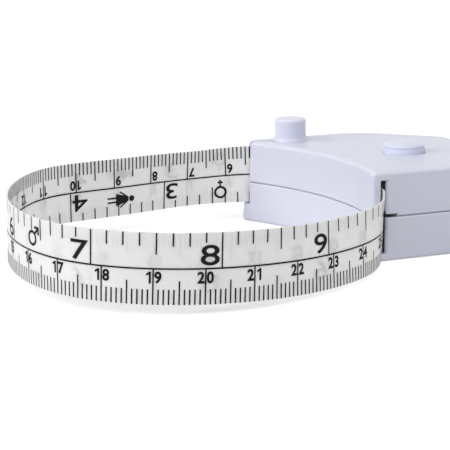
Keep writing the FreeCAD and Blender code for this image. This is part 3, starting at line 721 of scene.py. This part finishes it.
def printed_face(first, last):
    """The print between two scale readings, flat, with the centimetre edge at y = 0."""
    shape = bmesh.new()
    line = rectangle(shape, last - first, MIDLINE_WIDTH, int((last - first) / STRIP_STEP))
    bmesh.ops.translate(shape, verts=line, vec=((first + last) / 2, MIDLINE, 0))
    for tick in range(math.ceil(first / MM), math.floor(last / MM) + 1):
        stripe(shape, tick * MM, 0, CM_TICKS.get(tick % 10, MM_TICK))
    eighth = INCH / EIGHTHS
    for tick in range(math.ceil(first / eighth), math.floor(last / eighth) + 1):
        length = INCH_TICKS.get(tick % EIGHTHS, EIGHTH_TICK)
        stripe(shape, tick * eighth, TAPE_WIDTH - length, TAPE_WIDTH)
    cm_foot = MIDLINE - CM_BELOW - CM_HEIGHT
    cm_first, cm_last = first + CM_MARGIN, last - CM_MARGIN
    number_row(shape, cm_numerals, cm_first, cm_last, CENTIMETRE, CM_BEFORE, CM_SPACE, cm_foot)
    inch_foot = MIDLINE + INCH_ABOVE
    number_row(shape, inch_numerals, first + INCH_MARGIN, last, INCH, INCH_BEFORE, INCH_SPACE, inch_foot)
    for figure, reading, above in MARKS:
        put(shape, figure, reading, MIDLINE + above)
    bmesh.ops.translate(shape, verts=shape.verts, vec=(-first, 0, TAPE_THICK / 2 + INK_HEIGHT))
    return shape


for name, turn in (("scale_outer", 0.0), ("scale_inner", math.pi)):
    marks = printed_face(SCALE_START + PRINT_START, SCALE_START + tape_length)
    bmesh.ops.translate(marks, verts=marks.verts, vec=(PRINT_START, 0, 0))
    turned = Matrix.Rotation(turn, 3, "X")
    bmesh.ops.rotate(marks, verts=marks.verts, cent=(0, TAPE_WIDTH / 2, 0), matrix=turned)
    piece_on_tape(name, marks, ink)


# ---- Inside pieces ----
# Spool, flange, cover and brake are moulded in unpainted plastic, the springs and the clip are blued steel,
# and the screws and the pin are zinc plated. The button's spring stands on the post under the button.
SPOOL_COLOUR = (0.62, 0.62, 0.6)
SPOOL_ROUGHNESS = 0.5
WASHER_COLOUR = (0.8, 0.8, 0.76)
WASHER_ROUGHNESS = 0.4
RUBBER_COLOUR = (0.02, 0.02, 0.02)
RUBBER_ROUGHNESS = 0.75
SPRING_COLOUR = (0.42, 0.43, 0.46)
SPRING_ROUGHNESS = 0.3
PLATED_COLOUR = (0.6, 0.6, 0.62)
PLATED_ROUGHNESS = 0.28


def steel(name, colour, roughness):
    """Bare steel with the same fine grain and uneven gloss as the mouldings."""
    material = plastic(name, colour, roughness)
    material.node_tree.nodes["Principled BSDF"].inputs["Metallic"].default_value = 1.0
    return material


spool_plastic = plastic("spool_plastic", SPOOL_COLOUR, SPOOL_ROUGHNESS)
washer_plastic = plastic("washer_plastic", WASHER_COLOUR, WASHER_ROUGHNESS)
brake_rubber = plastic("brake_rubber", RUBBER_COLOUR, RUBBER_ROUGHNESS)
spring_steel = steel("spring_steel", SPRING_COLOUR, SPRING_ROUGHNESS)
plated_steel = steel("plated_steel", PLATED_COLOUR, PLATED_ROUGHNESS)
FINISHES = {
    "tape_spool": spool_plastic,
    "spool_flange": spool_plastic,
    "spring_cover": spool_plastic,
    "brake_disc": spool_plastic,
    "spool_washer": washer_plastic,
    "brake_washer": brake_rubber,
    "mainspring": spring_steel,
    "stem_clip": spring_steel,
    "case_screws": plated_steel,
    "tape_end_pin": plated_steel,
}
for name, material in FINISHES.items():
    finish_node(name, material)

# The button's spring, which gets shorter by the button's travel when the button goes down, gets a mesh of
# its own.
button_spring = smooth_copy("return_spring", "button_spring", "case", spring_steel)
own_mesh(button_spring)


# ---- Floor and light ----
# A white table that runs out into a white background, an even white surround, a large soft lamp low on the
# left, a small one overhead that draws the rounded edges, and a large warmer one high in front.
FLOOR_SIZE = 6.0
FLOOR_COLOUR = (0.8, 0.8, 0.8)
FLOOR_LIFT = 0.42  # glow that only the camera and the reflections see, up to white
SKY_COLOUR = (0.97, 0.98, 1.0)
SKY_STRENGTH = 0.35
BACKDROP_COLOUR = (1.0, 1.0, 1.0)
BACKDROP_STRENGTH = 1.0
LAMPS = [  # name, way of its light, strength, width in degrees, colour
    ("left_lamp", (0.89, -0.02, -0.45), 1.45, 34, (1.0, 1.0, 1.0)),
    ("top_lamp", (-0.37, 0.19, -0.88), 0.42, 10, (1.0, 1.0, 1.0)),
    ("front_lamp", (0.35, 0.60, -0.72), 1.04, 34, (1.0, 0.955, 0.915)),
]

floor_mesh = bpy.data.meshes.new("floor")
floor_shape = bmesh.new()
rectangle(floor_shape, FLOOR_SIZE, FLOOR_SIZE)
floor_shape.to_mesh(floor_mesh)
floor_shape.free()
floor = add_object("floor", floor_mesh)


def seen_directly(tree):
    """1 for the camera's, the reflections' and the glass's rays, and 0 for the light's."""
    rays = tree.nodes.new("ShaderNodeLightPath").outputs
    either = math_node(tree, "MAXIMUM", rays["Is Camera Ray"], rays["Is Glossy Ray"])
    return math_node(tree, "MAXIMUM", either, rays["Is Transmission Ray"])


table, tree, skin = new_material("white_table")
tree.nodes.remove(skin)
paint = tree.nodes.new("ShaderNodeBsdfDiffuse")
paint.inputs["Color"].default_value = (*FLOOR_COLOUR, 1)
glow = tree.nodes.new("ShaderNodeEmission")
tree.links.new(math_node(tree, "MULTIPLY", seen_directly(tree), FLOOR_LIFT), glow.inputs["Strength"])
both = tree.nodes.new("ShaderNodeAddShader")
tree.links.new(paint.outputs[0], both.inputs[0])
tree.links.new(glow.outputs[0], both.inputs[1])
tree.links.new(both.outputs[0], tree.nodes["Material Output"].inputs["Surface"])
floor_mesh.materials.append(table)

world = bpy.data.worlds.new("white_surround")
world.use_nodes = True
tree = world.node_tree
sky = tree.nodes["Background"]
sky.inputs["Color"].default_value = (*SKY_COLOUR, 1)
sky.inputs["Strength"].default_value = SKY_STRENGTH
backdrop = tree.nodes.new("ShaderNodeBackground")
backdrop.inputs["Color"].default_value = (*BACKDROP_COLOUR, 1)
backdrop.inputs["Strength"].default_value = BACKDROP_STRENGTH
pick = tree.nodes.new("ShaderNodeMixShader")
tree.links.new(seen_directly(tree), pick.inputs[0])
tree.links.new(sky.outputs[0], pick.inputs[1])
tree.links.new(backdrop.outputs[0], pick.inputs[2])
tree.links.new(pick.outputs[0], tree.nodes["World Output"].inputs["Surface"])
bpy.context.scene.world = world

for name, way, strength, width, colour in LAMPS:
    lamp = bpy.data.lights.new(name, "SUN")
    lamp.energy = strength
    lamp.angle = math.radians(width)
    lamp.color = colour
    lamp_stand = add_object(name, lamp)
    lamp_stand.rotation_euler = Vector(way).to_track_quat("-Z", "Y").to_euler()

bpy.context.scene.view_settings.view_transform = "Standard"
